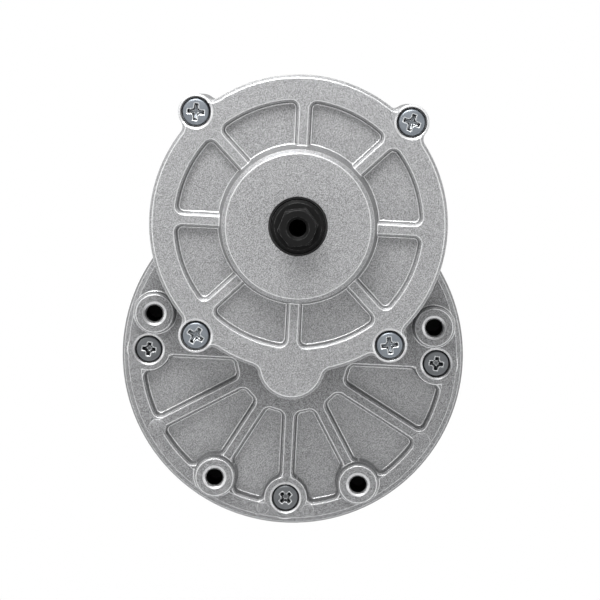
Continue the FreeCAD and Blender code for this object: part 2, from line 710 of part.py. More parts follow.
back_sketch = front_sketch(housing, flange_back_y)
closed_curve(back_sketch, sector(
    case_back_hub.number, (cavity_radius - case_back_inset).number, case_back_rib.number,
    back_pocket_angle.number, pocket_corner.number, pocket_corner.number, back_pocket_angle.number / 2))
back_pocket = pocket(back_sketch, case_back_pocket_depth, forward=True)
around(back_pocket, back_sketch, back_pocket_count, back_pocket_angle)

turn(housing, [(0, flange_y), (flange_radius - flange_edge, flange_y),
               (flange_radius - flange_edge / 3, flange_y + flange_edge / 3),
               (flange_radius, flange_y + flange_edge), (flange_radius, flange_back_y), (0, flange_back_y)],
     z=motor_z)

flange_pocket_angle = 180 / flange_pockets.number
flange_pocket, flange_sketch = drafted_pocket(
    housing, flange_y, flange_pocket_depth, motor_z, flange_pocket_inner.number, flange_pocket_outer.number,
    flange_rib.number, flange_pocket_angle, flange_inner_corner.number, pocket_corner.number,
    -flange_pocket_angle / 2)
around(flange_pocket, flange_sketch, flange_pockets, as_size(-flange_pocket_angle))
bevel(housing, lambda edge: at_depth(edge, flange_y)
      and from_axis(edge, 0, motor_z)[1] < flange_pocket_outer.number + 0.1
      and from_axis(edge, 0, motor_z)[0] > flange_pocket_inner.number - 0.1
      and from_axis(edge, 0, 0)[1] > case_radius.number + 1.5, pocket_edge)

# Mounting bosses and screw seats share one circle about the motor's axis.
boss_places = []
for side in (1, -1):
    boss_places.append((side * fixing_radius * cosine(upper_boss_angle),
                        motor_z + fixing_radius * sine(upper_boss_angle)))
    boss_places.append((side * fixing_radius * cosine(lower_boss_angle),
                        motor_z - fixing_radius * sine(lower_boss_angle)))
seat_places = [(fixing_radius, motor_z), (-fixing_radius, motor_z), (0, motor_z - fixing_radius)]
boss_top_y = flange_y - boss_height

round_pad(housing, flange_back_y, flange_thickness, seat_places, screw_seat_radius)
round_pad(housing, flange_back_y, flange_thickness, boss_places, boss_base_radius)
boss_shoulder = boss_height - boss_edge
boss_shoulder_radius = boss_base_radius - boss_shoulder * sine(boss_taper) / cosine(boss_taper)
round_pad(housing, flange_y, boss_shoulder, boss_places, boss_base_radius, boss_taper)
round_pad(housing, flange_y - boss_shoulder, boss_edge, boss_places, boss_shoulder_radius, boss_edge_angle)
round_pocket(housing, boss_top_y, mount_thread_depth, boss_places, mount_thread_radius)
bevel(housing, lambda edge: at_depth(edge, boss_top_y) and is_circle(edge, mount_thread_radius),
      mount_countersink - mount_thread_radius)
round_pocket(housing, flange_y, recess_depth, seat_places, flange_recess_radius)
round_pocket(housing, flange_y, flange_thickness, seat_places, screw_radius + screw_room)

# Gear space, opened from the front, with the rear bearing's seat in its floor.
pinion_space = pinion_tip + pinion_room
round_pocket(housing, case_y, cavity_floor_y - case_y, output_axis, cavity_radius)
round_pocket(housing, case_y, seal_y - case_y, motor_axis, pinion_space)
round_pocket(housing, cavity_floor_y, rear_bearing_width, output_axis, rear_bearing_radius)

# Motor side: a spigot for the can, and a hub that holds the shaft seal and the front bearing.
motor_hub_y = motor_bearing_y + motor_bearing_width
spigot_radius = can_radius - can_wall - spigot_room
round_pad(housing, motor_hub_y, motor_hub_y - flange_back_y, motor_axis, motor_bearing_radius + motor_hub_wall)
spigot = front_sketch(housing, flange_back_y + spigot_height)
circle(spigot, 0, motor_z, spigot_radius)
circle(spigot, 0, motor_z, spigot_radius - spigot_wall)
pad(spigot, spigot_height)
round_pocket(housing, motor_bearing_y, motor_bearing_width, motor_axis, motor_bearing_radius)
round_pocket(housing, seal_y, seal_width + seal_room, motor_axis, seal_radius)

tapped_depth = cover_screw_length - (case_y - rim_y - recess_depth) + tap_room
round_pocket(housing, case_y, tapped_depth, ear_places, screw_radius + thread_room)

# Pan-head screws with a cross recess. Each seed screw has its head's underside at its origin.
def cross_points(width, span):
    near = width / 2
    far = span / 2
    return [(near, near), (near, far), (-near, far), (-near, near), (-far, near), (-far, -near),
            (-near, -near), (-near, -far), (near, -far), (near, -near), (far, -near), (far, near)]


def pan_screw(label, radius, head_radius, head_height, length, cross=1):
    """A screw whose cross recess and head bevel are that share of a case screw's."""
    screw = body(label)
    turn(screw, [(0, -head_height), (head_radius, -head_height), (head_radius, 0), (radius, 0),
                 (radius, length), (0, length)])
    bevel(screw, lambda edge: at_depth(edge, -head_height), head_bevel * cross)
    sketch = front_sketch(screw, -head_height)
    outline(sketch, cross_points(cross_width * cross, cross_span * cross))
    pocket(sketch, cross_depth * cross)
    return screw.Shape


cover_screw = pan_screw("cover_screw_seed", screw_radius, screw_head_radius, screw_head_height,
                        cover_screw_length)
through_screw = pan_screw("through_screw_seed", screw_radius, screw_head_radius, screw_head_height,
                          through_screw_length)
screw_turns = [17, -10, 3, 30]
cover_screws = group("cover_screws", [
    placed(cover_screw, x, rim_y + recess_depth, z, angle)
    for (x, z), angle in zip(ear_places, screw_turns)])
through_turns = [5, 5, 45]
through_screws = group("through_screws", [
    placed(through_screw, x, flange_y + recess_depth, z, angle)
    for (x, z), angle in zip(seat_places, through_turns)])

# Motor can: a steel tube between the flange and the rear end bell.
can = body("motor_can", motor_z, flange_back_y)
turn(can, [(can_radius - can_wall, 0), (can_radius, 0), (can_radius, can_length),
           (can_radius - can_wall, can_length)])

# Field magnets: four ferrite segments glued inside the can, with the through screws between them.
magnet_outer = can_radius - can_wall
magnet_inner = magnet_outer - magnet_thickness


def ring_piece(inner, outer, half_angle, middle=90):
    """The outline of a piece of a ring about the sketch's centre."""
    def point(radius, angle):
        turned = math.radians(middle + angle)
        return FreeCAD.Vector(radius * math.cos(turned), radius * math.sin(turned), 0)

    return [Part.Arc(point(outer, -half_angle), point(outer, 0), point(outer, half_angle)),
            Part.LineSegment(point(outer, half_angle), point(inner, half_angle)),
            Part.Arc(point(inner, half_angle), point(inner, 0), point(inner, -half_angle)),
            Part.LineSegment(point(inner, -half_angle), point(outer, -half_angle))]


magnet = body("magnet_seed")
magnet_sketch = front_sketch(magnet, magnet_length)
closed_curve(magnet_sketch, ring_piece(magnet_inner.number, magnet_outer.number, magnet_angle.number / 2))
pad(magnet_sketch, magnet_length)
magnets = group("field_magnets", [
    placed(magnet.Shape, 0, flange_back_y + magnet_set_back, motor_z, 45 + 360 / magnet_count.number * index)
    for index in range(int(magnet_count.number))])

# Rear end bell: die-cast aluminium cup that closes the can and holds the rear motor bearing.
end_bell = body("rear_end_bell", motor_z, can_back_y)
cup_radius = can_radius - end_wall
floor = end_depth - end_wall
end_seat_depth = motor_bearing_width + washer_thickness
end_seat_front = floor - end_seat_depth
end_hub_radius = rear_motor_bearing_radius + motor_hub_wall
end_spigot_inner = spigot_radius - end_wall
turn(end_bell, [(end_spigot_inner, -end_spigot_height), (spigot_radius, -end_spigot_height),
                (spigot_radius, 0), (can_radius, 0), (can_radius, end_depth), (end_hub_radius, end_depth),
                (end_hub_radius, end_depth + end_hub_stand - end_hub_edge),
                (end_hub_radius - end_hub_edge, end_depth + end_hub_stand), (0, end_depth + end_hub_stand),
                (0, floor),
                (rear_motor_bearing_radius, floor), (rear_motor_bearing_radius, end_seat_front),
                (end_hub_radius, end_seat_front), (end_hub_radius, floor), (cup_radius, floor),
                (cup_radius, 0), (end_spigot_inner, 0)])
bevel(end_bell, lambda edge: at_depth(edge, end_depth) and is_circle(edge, can_radius), end_edge)
own_seats = [(x, z - motor_z) for x, z in seat_places]
round_pad(end_bell, floor, floor, own_seats, end_boss_radius)
plate_screw_places = []
for index in range(2):
    around_by = plate_screw_angle + 180 * index
    plate_screw_places.append((plate_screw_circle * cosine(around_by), plate_screw_circle * sine(around_by)))
round_pad(end_bell, floor, floor + end_spigot_height, plate_screw_places, plate_boss_radius)
round_pocket(end_bell, -end_spigot_height, floor + end_spigot_height, own_seats, screw_radius + thread_room)
round_pocket(end_bell, -end_spigot_height, floor + end_spigot_height, plate_screw_places,
             plate_screw_radius + thread_room)


def top_sketch(owner, z):
    """A sketch seen from above, z above the body's origin, with +Y towards the back."""
    sketch = new_sketch(owner, "XY_Plane")
    bind(sketch, "AttachmentOffset.Base.z", z)
    return sketch


grommet_y = end_depth / 2
grommet_top = can_radius + grommet_pad_stand
grommet_pad = top_sketch(end_bell, cup_radius - end_wall)
circle(grommet_pad, 0, grommet_y, grommet_pad_radius)
pad(grommet_pad, grommet_top - cup_radius + end_wall)
grommet_hole = top_sketch(end_bell, grommet_top)
circle(grommet_hole, 0, grommet_y, grommet_radius)
pocket(grommet_hole, grommet_top - cup_radius + end_wall)

# Cable grommet: moulded rubber, pushed into the end bell from outside. Its cable isn't fitted.
grommet = body("cable_grommet", motor_z, can_back_y)
grommet_stem = top_sketch(grommet, cup_radius - end_wall)
circle(grommet_stem, 0, grommet_y, grommet_radius)
circle(grommet_stem, 0, grommet_y, grommet_bore)
pad(grommet_stem, grommet_top - cup_radius + end_wall)
grommet_collar = top_sketch(grommet, grommet_top)
circle(grommet_collar, 0, grommet_y, grommet_flange_radius)
circle(grommet_collar, 0, grommet_y, grommet_bore)
pad(grommet_collar, grommet_flange)

# Brush gear: an insulating plate with four brass holders, their brushes and springs.
plate_y = can_back_y - end_spigot_height - plate_thickness
plate = body("brush_plate", motor_z, plate_y)
turn(plate, [(plate_inner_radius, 0), (spigot_radius, 0), (spigot_radius, plate_thickness),
             (plate_inner_radius, plate_thickness)])
round_pocket(plate, 0, plate_thickness, own_seats, screw_radius + screw_room)
round_pocket(plate, 0, plate_thickness, plate_screw_places, plate_screw_radius + screw_room / 2)
plate_screw = pan_screw("plate_screw_seed", plate_screw_radius, plate_screw_head, plate_screw_head_height,
                        plate_screw_length, cross=plate_screw_head / screw_head_radius)
plate_screws = group("brush_plate_screws", [
    placed(plate_screw, x, plate_y, z + motor_z, plate_screw_turn) for x, z in plate_screw_places])


def block(owner, width, front, length, bottom, height, cut=False):
    """A block on the Y axis: even about X, with its depth and its height from the body's origin."""
    half = width / 2
    sketch = top_sketch(owner, bottom)
    outline(sketch, [(-half, front), (half, front), (half, front + length), (-half, front + length)])
    if cut:
        return pocket(sketch, height, forward=True)
    return pad(sketch, height)


brush_front = -holder_wall - 2 * brush_room - brush_length
holder = body("holder_seed")
block(holder, brush_width + 2 * brush_room + 2 * holder_wall, brush_front - holder_wall,
      brush_length + 2 * brush_room + 2 * holder_wall, holder_inner_radius, holder_height)
block(holder, brush_width + 2 * brush_room, brush_front, brush_length + 2 * brush_room,
      holder_inner_radius, holder_height - holder_wall, cut=True)
brush = body("brush_seed")
block(brush, brush_width, brush_front + brush_room, brush_length, commutator_radius - 1, brush_height + 1)
round_pocket(brush, brush_front, brush_length + 1, [(0, 0)], commutator_radius + brush_room)

spring_bottom = commutator_radius + brush_height
spring = body("spring_seed")
spring_sketch = front_sketch(spring, brush_front + brush_length - spring_margin)
spring_half = brush_width / 2 - spring_thickness
leg_rise = (spring_space - spring_thickness) / spring_legs
zigzag = []
for index in range(int(spring_legs.number) + 1):
    side = spring_half if index % 2 else -spring_half
    zigzag.append((side, spring_bottom + leg_rise * index))
outline(spring_sketch, zigzag + [(side, height + spring_thickness) for side, height in reversed(zigzag)])
pad(spring_sketch, brush_length - 2 * spring_margin)


def brush_set(label, shape):
    turns = [45 + 360 / brush_count.number * index for index in range(int(brush_count.number))]
    return group(label, [placed(shape, 0, plate_y, motor_z, angle) for angle in turns])


holders = brush_set("brush_holders", holder.Shape)
brushes = brush_set("carbon_brushes", brush.Shape)
springs = brush_set("brush_springs", spring.Shape)

# Wave washer that loads the rear motor bearing.
washer = body("bearing_wave_washer", motor_z, can_back_y + floor - washer_thickness)
washer_inner = rear_motor_bearing_radius - end_wall
washer_outer = rear_motor_bearing_radius - washer_room
turn(washer, [(washer_inner, 0), (washer_outer, 0), (washer_outer, washer_thickness),
              (washer_inner, washer_thickness)])

bearing_parts = []


def ball_bearing(name, y, z, bore, outer, width, ball, pitch):
    """A sealed ball bearing: two rings, and between them the balls in their cage as one ring."""
    shoulder = ball * ball_shoulder
    envelope = shoulder - ball_room
    recess = width / 2 - ball - cage_rim
    pieces = [("outer_ring", pitch + shoulder, outer, 0), ("inner_ring", bore, pitch - shoulder, 0),
              ("ball_set", pitch - envelope, pitch + envelope, recess)]
    for piece_name, inside, outside, inset in pieces:
        ring = body("%s_%s" % (name, piece_name), z, y)
        turn(ring, [(inside, inset), (outside, inset), (outside, width - inset), (inside, width - inset)])
        bearing_parts.append(ring)


ball_bearing("output_front_bearing", front_bearing_y, as_size(0), shaft_radius, bearing_radius, bearing_width,
             front_ball, front_pitch)
ball_bearing("output_rear_bearing", rear_bearing_y, as_size(0), shaft_radius, rear_bearing_radius,
             rear_bearing_width, rear_ball, rear_pitch)
ball_bearing("motor_front_bearing", motor_bearing_y, motor_z, motor_shaft_radius, motor_bearing_radius,
             motor_bearing_width, motor_ball, motor_front_pitch)
ball_bearing("motor_rear_bearing", can_back_y + end_seat_front, motor_z, rear_journal_radius,
             rear_motor_bearing_radius, motor_bearing_width, motor_ball, motor_rear_pitch)

# Shaft seal between the greased gears and the motor: rubber, with its lip towards the gears.
seal = body("motor_shaft_seal", motor_z, seal_y)
lip = motor_shaft_radius + running_room
turn(seal, [(seal_radius, 0), (seal_radius, seal_width), (lip, seal_width), (lip, 0), (lip + seal_lip, 0),
            (lip + seal_lip, seal_width - seal_back), (seal_radius - seal_wall, seal_width - seal_back),
            (seal_radius - seal_wall, 0)])

# Sintered bush in the cover's lobe for the pinion's end.
bush = body("pinion_end_bush", motor_z, bush_y)
turn(bush, [(journal_radius, 0), (bush_radius, 0), (bush_radius, bush_length), (journal_radius, bush_length)])


def tooth_gap(owner, y, teeth, shift, root, tip, middle):
    """Sketch the gap between two involute teeth, with its middle at an angle from +X."""
    module = gear_module.number
    pressure = math.radians(pressure_angle.number)
    pitch_radius = module * teeth / 2
    base_radius = pitch_radius * math.cos(pressure)
    thickness = module * (math.pi / 2 + 2 * shift * math.tan(pressure)) - tooth_thinning.number
    pitch_involute = math.tan(pressure) - pressure

    def half_gap(radius):
        local = math.acos(min(1, base_radius / radius))
        half_tooth = thickness / (2 * pitch_radius) + pitch_involute - (math.tan(local) - local)
        return math.pi / teeth - half_tooth

    def point(radius, angle):
        turned = math.radians(middle) + angle
        return FreeCAD.Vector(radius * math.cos(turned), radius * math.sin(turned), 0)

    def flank(first, middle_point, last):
        """An involute flank or a root is an arc, and nearly straight on a gear of many teeth."""
        if teeth > nearly_straight_from.number:
            return Part.LineSegment(first, last)
        return Part.Arc(first, middle_point, last)

    start = max(root, base_radius)
    halfway = (start + tip) / 2
    beyond = tip + module / 2
    curves = [flank(point(root, half_gap(start)), point(root, 0), point(root, -half_gap(start)))]
    if start > root:
        curves.append(Part.LineSegment(point(root, -half_gap(start)), point(start, -half_gap(start))))
    curves.append(flank(point(start, -half_gap(start)), point(halfway, -half_gap(halfway)),
                        point(tip, -half_gap(tip))))
    curves.append(Part.LineSegment(point(tip, -half_gap(tip)), point(beyond, -half_gap(tip))))
    curves.append(Part.LineSegment(point(beyond, -half_gap(tip)), point(beyond, half_gap(tip))))
    curves.append(Part.LineSegment(point(beyond, half_gap(tip)), point(tip, half_gap(tip))))
    curves.append(flank(point(tip, half_gap(tip)), point(halfway, half_gap(halfway)),
                        point(start, half_gap(start))))
    if start > root:
        curves.append(Part.LineSegment(point(start, half_gap(start)), point(root, half_gap(start))))
    sketch = front_sketch(owner, y)
    closed_curve(sketch, curves)
    return sketch


# Output shaft: black-oxided steel with a drive hexagon and a thread in its end.
shaft = body("output_shaft")
shoulder_y = front_bearing_y + bearing_width
shaft_back_y = rear_bearing_y + rear_bearing_width - shaft_end_room
turn(shaft, [(0, -collar_stand), (shaft_radius - collar_chamfer, -collar_stand),
             (shaft_radius, collar_chamfer - collar_stand), (shaft_radius, shoulder_y),
             (shaft_shoulder, shoulder_y), (shaft_shoulder, gear_seat_y), (gear_seat_radius, gear_seat_y),
             (gear_seat_radius, rear_bearing_y), (shaft_radius, rear_bearing_y), (shaft_radius, shaft_back_y),
             (0, shaft_back_y)])
hex_corner = hex_across / 2 / cosine(as_size(180) / hex_sides)
hexagon = front_sketch(shaft, -collar_stand)
corner_angles = [hex_turn + as_size(360) / hex_sides * corner for corner in range(int(hex_sides.number))]
outline(hexagon, [(hex_corner * cosine(angle), hex_corner * sine(angle)) for angle in corner_angles])
pad(hexagon, hex_length)
end_y = -collar_stand - hex_length
chamfer_reach = hex_corner - hex_across / 2
turn(shaft, [(hex_across / 2, end_y), (hex_corner + chamfer_reach, end_y),
             (hex_corner + chamfer_reach, end_y + chamfer_reach * chamfer_slope)], cut=True)
countersink = end_countersink - end_thread_radius
turn(shaft, [(0, end_y), (end_countersink, end_y), (end_thread_radius, end_y + countersink),
             (end_thread_radius, end_y + end_thread_depth), (0, end_y + end_thread_depth + end_thread_radius / 2)],
     cut=True)
key_bottom = gear_seat_radius - key_depth
key_y = gear_seat_y + key_set_back
block(shaft, key_width, key_y, key_length, key_bottom, key_depth + 1, cut=True)

key = body("gear_key")
block(key, key_width, key_y, key_length, key_bottom, key_width)

# Output gear: machined steel, keyed to the shaft and held between its shoulder and the rear bearing.
gear = body("output_gear", 0, gear_seat_y)
rim_back = gear_rim_set_back + gear_face
web_front = gear_rim_set_back + (gear_face - gear_web) / 2
web_back = web_front + gear_web
rim_inside = gear_root - gear_rim
turn(gear, [(gear_seat_radius, 0), (gear_hub_radius, 0), (gear_hub_radius, web_front), (rim_inside, web_front),
            (rim_inside, gear_rim_set_back), (gear_tip, gear_rim_set_back), (gear_tip, rim_back),
            (rim_inside, rim_back), (rim_inside, web_back), (gear_hub_radius, web_back),
            (gear_hub_radius, gear_hub_length - gear_spigot), (gear_spigot_radius, gear_hub_length - gear_spigot),
            (gear_spigot_radius, gear_hub_length), (gear_seat_radius, gear_hub_length)])
web_hole_circle = (rim_inside + gear_hub_radius) / 2
web_sketch = front_sketch(gear, web_front)
circle(web_sketch, 0, web_hole_circle, web_hole_radius)
around(pocket(web_sketch, gear_web), web_sketch, web_holes)
block(gear, key_width + key_room, as_size(0), gear_hub_length, gear_seat_radius - 1,
      key_bottom + key_width + key_room - gear_seat_radius + 1, cut=True)
gap_sketch = tooth_gap(gear, gear_rim_set_back, gear_teeth.number, -profile_shift.number,
                       gear_root.number, gear_tip.number, -90)
around(pocket(gap_sketch, gear_face), gap_sketch, gear_teeth)

# Armature shaft: hardened steel with the pinion's teeth cut in its front end.
armature_shaft = body("armature_shaft", motor_z)
pinion_root = gear_module * (pinion_teeth / 2 - 1 - tooth_root_room + profile_shift)
teeth_y = joint_y + pinion_set_back
teeth_end_y = teeth_y + pinion_face
core_y = flange_back_y + core_set_back
core_back_y = core_y + core_length
end_seat_y = can_back_y + end_seat_front
journal = journal_radius - running_room
turn(armature_shaft, [
    (0, bush_y + shaft_end_room), (journal, bush_y + shaft_end_room), (journal, teeth_y), (pinion_tip, teeth_y),
    (pinion_tip, teeth_end_y), (motor_shaft_radius, teeth_end_y + pinion_neck),
    (motor_shaft_radius, motor_hub_y), (armature_shoulder, motor_hub_y),
    (armature_shoulder, core_back_y + winding_overhang), (motor_shaft_radius, core_back_y + winding_overhang),
    (motor_shaft_radius, end_seat_y), (rear_journal_radius, end_seat_y),
    (rear_journal_radius, end_seat_y + motor_bearing_width), (0, end_seat_y + motor_bearing_width)])
pinion_gap = tooth_gap(armature_shaft, teeth_y, pinion_teeth.number, profile_shift.number,
                       pinion_root.number, pinion_tip.number, 90 + 180 / pinion_teeth.number)
around(pocket(pinion_gap, pinion_face), pinion_gap, pinion_teeth)

# Armature: a slotted stack with its windings, and a commutator behind it.
core_radius = magnet_inner - air_gap
core = body("armature_core", motor_z, core_y)
turn(core, [(armature_shoulder, 0), (core_radius, 0), (core_radius, core_length), (armature_shoulder, core_length)])
slot_top = core_radius - slot_lip
slot_bottom = core_radius - slot_depth
mouth = slot_mouth / 2


def slot_points(room):
    wide = slot_outer_width / 2 - room
    narrow = slot_inner_width / 2 - room
    return [(wide, slot_top - room), (narrow, slot_bottom + room), (-narrow, slot_bottom + room),
            (-wide, slot_top - room)]


slot = front_sketch(core, 0)
outline(slot, [(mouth, core_radius + 1), (mouth, slot_top)] + slot_points(as_size(0))
        + [(-mouth, slot_top), (-mouth, core_radius + 1)])
around(pocket(slot, core_length), slot, slot_count)

windings = body("armature_windings", motor_z, core_y)
winding_outer = slot_top - winding_room
soft = winding_overhang / 4
turn(windings, [(winding_inner_radius, -soft), (winding_inner_radius + soft, -winding_overhang),
                (winding_outer - soft, -winding_overhang), (winding_outer, -soft), (winding_outer, 0),
                (winding_inner_radius, 0)])
coil = front_sketch(windings, core_length)
outline(coil, slot_points(winding_room))
around(pad(coil, core_length), coil, slot_count)
turn(windings, [(winding_inner_radius, core_length), (winding_outer, core_length),
                (winding_outer, core_length + soft), (winding_outer - soft, core_length + winding_overhang),
                (winding_inner_radius + soft, core_length + winding_overhang),
                (winding_inner_radius, core_length + soft)])

commutator_y = core_y + commutator_from_core
bar_angle = 360 / slot_count.number
bar = body("commutator_bar_seed")
bar_sketch = front_sketch(bar, commutator_length)
bar_half = bar_angle / 2 - math.degrees((commutator_gap / commutator_radius).number) / 2
closed_curve(bar_sketch, ring_piece(commutator_bore.number, commutator_radius.number, bar_half))
pad(bar_sketch, commutator_length)
commutator = group("commutator_bars", [
    placed(bar.Shape, 0, commutator_y, motor_z, bar_angle * index) for index in range(int(slot_count.number))])
commutator_hub = body("commutator_hub", motor_z, commutator_y)
turn(commutator_hub, [(motor_shaft_radius, 0), (commutator_bore, 0), (commutator_bore, commutator_length),
                      (motor_shaft_radius, commutator_length)])

doc.recompute()
for item in doc.Objects:
    if "Invalid" in item.State or "Error" in item.State:
        raise ValueError(item.Label + " has failed")

parts = [housing, cover, gasket, cover_screws, through_screws, can, magnets, end_bell, grommet, plate,
         plate_screws, holders, brushes, springs, washer, seal, bush, shaft, gear, key, armature_shaft, core,
         windings, commutator, commutator_hub] + bearing_parts
os.makedirs("parts", exist_ok=True)
for part in parts:
    if part.Shape.isNull() or not part.Shape.isValid():
        raise ValueError(part.Label + " has no sound shape")
for part in parts:
    part.Shape.exportStep("parts/%s.step" % part.Label)
print(len(parts), "nodes")
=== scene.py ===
import math

import bmesh
import bpy
from mathutils import Matrix, Vector


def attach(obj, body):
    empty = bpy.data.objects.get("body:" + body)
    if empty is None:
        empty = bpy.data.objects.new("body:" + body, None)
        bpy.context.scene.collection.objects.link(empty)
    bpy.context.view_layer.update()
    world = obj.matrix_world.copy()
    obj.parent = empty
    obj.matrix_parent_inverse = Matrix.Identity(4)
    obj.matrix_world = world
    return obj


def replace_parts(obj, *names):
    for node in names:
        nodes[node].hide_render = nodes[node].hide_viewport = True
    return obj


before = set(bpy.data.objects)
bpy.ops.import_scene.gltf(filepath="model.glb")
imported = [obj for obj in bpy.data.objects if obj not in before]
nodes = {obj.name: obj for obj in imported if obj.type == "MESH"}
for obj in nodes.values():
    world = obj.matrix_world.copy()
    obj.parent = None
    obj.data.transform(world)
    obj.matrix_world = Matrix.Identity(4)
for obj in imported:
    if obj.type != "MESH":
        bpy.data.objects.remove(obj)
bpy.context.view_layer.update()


# Gear case: the housing with its round mounting flange, the gearbox cover and the motor's rear
# end bell are aluminium die castings. They are blasted after trimming, which leaves a fine even
# grain and slightly worn edges. All edges, hollow ones too, are also lightened as a painted
# highlight.
class Wire:
    """A value or colour that varies over a surface. Sums and products of it become nodes."""

    def __init__(self, tree, socket):
        self.tree = tree
        self.socket = socket

    def node(self, kind, settings=None, inputs=None, output=0):
        made = self.tree.nodes.new(kind)
        for key, value in (settings or {}).items():
            setattr(made, key, value)
        for key, value in (inputs or {}).items():
            if isinstance(value, Wire):
                self.tree.links.new(value.socket, made.inputs[key])
            else:
                made.inputs[key].default_value = value
        return Wire(self.tree, made.outputs[output])

    def maths(self, operation, first, second=0.0):
        return self.node("ShaderNodeMath", {"operation": operation}, {0: first, 1: second})

    def __add__(self, other):
        return self.maths("ADD", self, other)

    __radd__ = __add__

    def __sub__(self, other):
        return self.maths("SUBTRACT", self, other)

    def __rsub__(self, other):
        return self.maths("SUBTRACT", other, self)

    def __mul__(self, other):
        return self.maths("MULTIPLY", self, other)

    __rmul__ = __mul__

    def above(self, low, high):
        """0 below low, 1 above high, smooth between them."""
        return self.node(
            "ShaderNodeMapRange",
            {"interpolation_type": "SMOOTHSTEP"},
            {"Value": self, "From Min": low, "From Max": high},
        )

    def mix(self, first, second):
        """The first colour where the value is 0, the second where it is 1."""
        pair = [c if isinstance(c, Wire) else (*c, 1) for c in (first, second)]
        return self.node(
            "ShaderNodeMix", {"data_type": "RGBA"}, {0: self, 6: pair[0], 7: pair[1]}, output=2
        )

    def vector(self, operation, other, output=0):
        return self.node(
            "ShaderNodeVectorMath", {"operation": operation}, {0: self, 1: other}, output
        )

    def apart(self, x, z):
        """Distance in metres from the line along Y through that x and z; called on coordinates."""
        return self.vector("MULTIPLY", (1, 0, 1)).vector("DISTANCE", (x, 0, z), output=1)

    def inside(self, x, z, radius, front, back):
        """1 in a round bore along Y from front to back, in metres; called on coordinates."""
        depth = self.node("ShaderNodeSeparateXYZ", inputs={0: self}, output=1)
        along = depth.above(front, front + 0.0002) - depth.above(back, back + 0.0002)
        return (1 - self.apart(x, z).above(radius, radius + 0.00008)) * along

    def noise(self, size, detail=2.0, roughness=0.5):
        """Noise with features of that size in metres; called on coordinates."""
        return self.node(
            "ShaderNodeTexNoise",
            {},
            {"Vector": self, "Scale": 1 / size, "Detail": detail, "Roughness": roughness},
        )


def new_finish(name):
    """An empty material, its Principled shader and its surface coordinates."""
    made = bpy.data.materials.new(name)
    made.use_nodes = True
    tree = made.node_tree
    tree.nodes.clear()
    shader = tree.nodes.new("ShaderNodeBsdfPrincipled")
    end = tree.nodes.new("ShaderNodeOutputMaterial")
    tree.links.new(shader.outputs[0], end.inputs[0])
    spot = tree.nodes.new("ShaderNodeTexCoord")
    return made, shader, Wire(tree, spot.outputs["Object"])


def plug(wire, shader, socket):
    wire.tree.links.new(wire.socket, shader.inputs[socket])


def emboss(here, shader, strength, height, rounded=None):
    """Bump the surface, a tenth of a millimetre for each 1 of height, over a rounded normal."""
    inputs = {"Strength": strength, "Distance": 0.0001, "Height": height}
    if rounded:
        inputs["Normal"] = rounded
    plug(here.node("ShaderNodeBump", {}, inputs), shader, "Normal")


def edges(here, radius):
    """1 on edges sharper than that radius in metres, 0 on plain faces, and the rounded normal."""
    rounded = here.node("ShaderNodeBevel", {"samples": 6}, {"Radius": radius})
    flat = here.node("ShaderNodeNewGeometry", output=1)
    return (1 - rounded.vector("DOT_PRODUCT", flat, output=1)).above(0.002, 0.06), rounded


def dress(names, finish):
    """Give one finish to nodes of the CAD model."""
    for name in names:
        mesh = nodes[name].data
        if not mesh.materials:
            mesh.materials.append(finish)
        for place in range(len(mesh.materials)):
            mesh.materials[place] = finish


def blasted_casting(name, dark, light, rims=(), shaded_holes=(), lit_floors=None, edge_wear_and_highlight=1.0):
    """Blasted aluminium with worn edges and a painted highlight on all edges. Each rim is (x, z,
    inner, outer radius) of a rounded edge around a hole, with a painted bright ring; each hole (x,
    z, radius, front, back) is a bore painted near-black as painted shade, and the pocket floors,
    of the same form, are painted paler as painted light."""
    finish, shader, here = new_finish(name)
    tilted = here.node("ShaderNodeMapping", {}, {"Vector": here, "Rotation": (0.6, 0.8, 0.4)})
    grain = tilted.noise(0.00021, 1.0, 0.6)
    cloud = here.noise(0.014, 3.0)
    edge, rounded = edges(here, 0.0005)
    speck = grain.above(0.34, 0.66)
    shade = speck * 0.88 + cloud * 0.12
    if lit_floors:
        # Pocket floors are painted paler: painted light, where the pocket walls shade them.
        shade = shade * 0.8 + here.inside(*lit_floors) * 0.16
    height = grain * 1.5
    # Edges are lightened: partly wear, partly a painted highlight that falls on hollow edges too.
    wear_and_highlight = edge * edge_wear_and_highlight
    for x, z, inner, outer in rims:
        apart = here.apart(x, z)
        height = height + apart.above(inner, outer) * 60
        # Each rim gets a painted bright ring, a painted highlight on its rounded edge.
        ring = apart.above(inner - 0.0002, inner) - apart.above(outer - 0.0001, outer + 0.0001)
        wear_and_highlight = wear_and_highlight + ring * 0.45
    wear_and_highlight = wear_and_highlight.maths("MINIMUM", wear_and_highlight, 1.0)
    colour = wear_and_highlight.mix(shade.mix(dark, light), (0.97, 0.975, 0.98))
    if shaded_holes:
        # Bores are painted near-black: painted shade inside the holes.
        bore_shade = sum(here.inside(*hole) for hole in shaded_holes)
        colour = bore_shade.mix(colour, (0.006, 0.006, 0.006))
    plug(colour, shader, "Base Color")
    plug(0.5 + speck * 0.1 - wear_and_highlight * 0.26, shader, "Roughness")
    emboss(here, shader, 0.4, height, rounded)
    shader.inputs["Metallic"].default_value = 0.8
    return finish


def around(places, *sizes):
    """Those sizes in metres at each of the places, whose x and z are in millimetres."""
    return [(x / 1000, z / 1000, *sizes) for x, z in places]


motor_z = -40.8
ear_places = ((30.745, 30.745), (27.95, -33.31), (-30.745, 30.745), (-27.95, -33.31))
seat_places = ((43, motor_z), (-43, motor_z), (0, motor_z - 43))
boss_places = ((41.535, -29.671), (-41.535, -29.671), (21.5, -78.039), (-21.5, -78.039))
# Floors of the flange's pockets, painted paler as painted light.
lit_pocket_floors = (0, motor_z / 1000, 0.0449, 0.0306, 0.032)
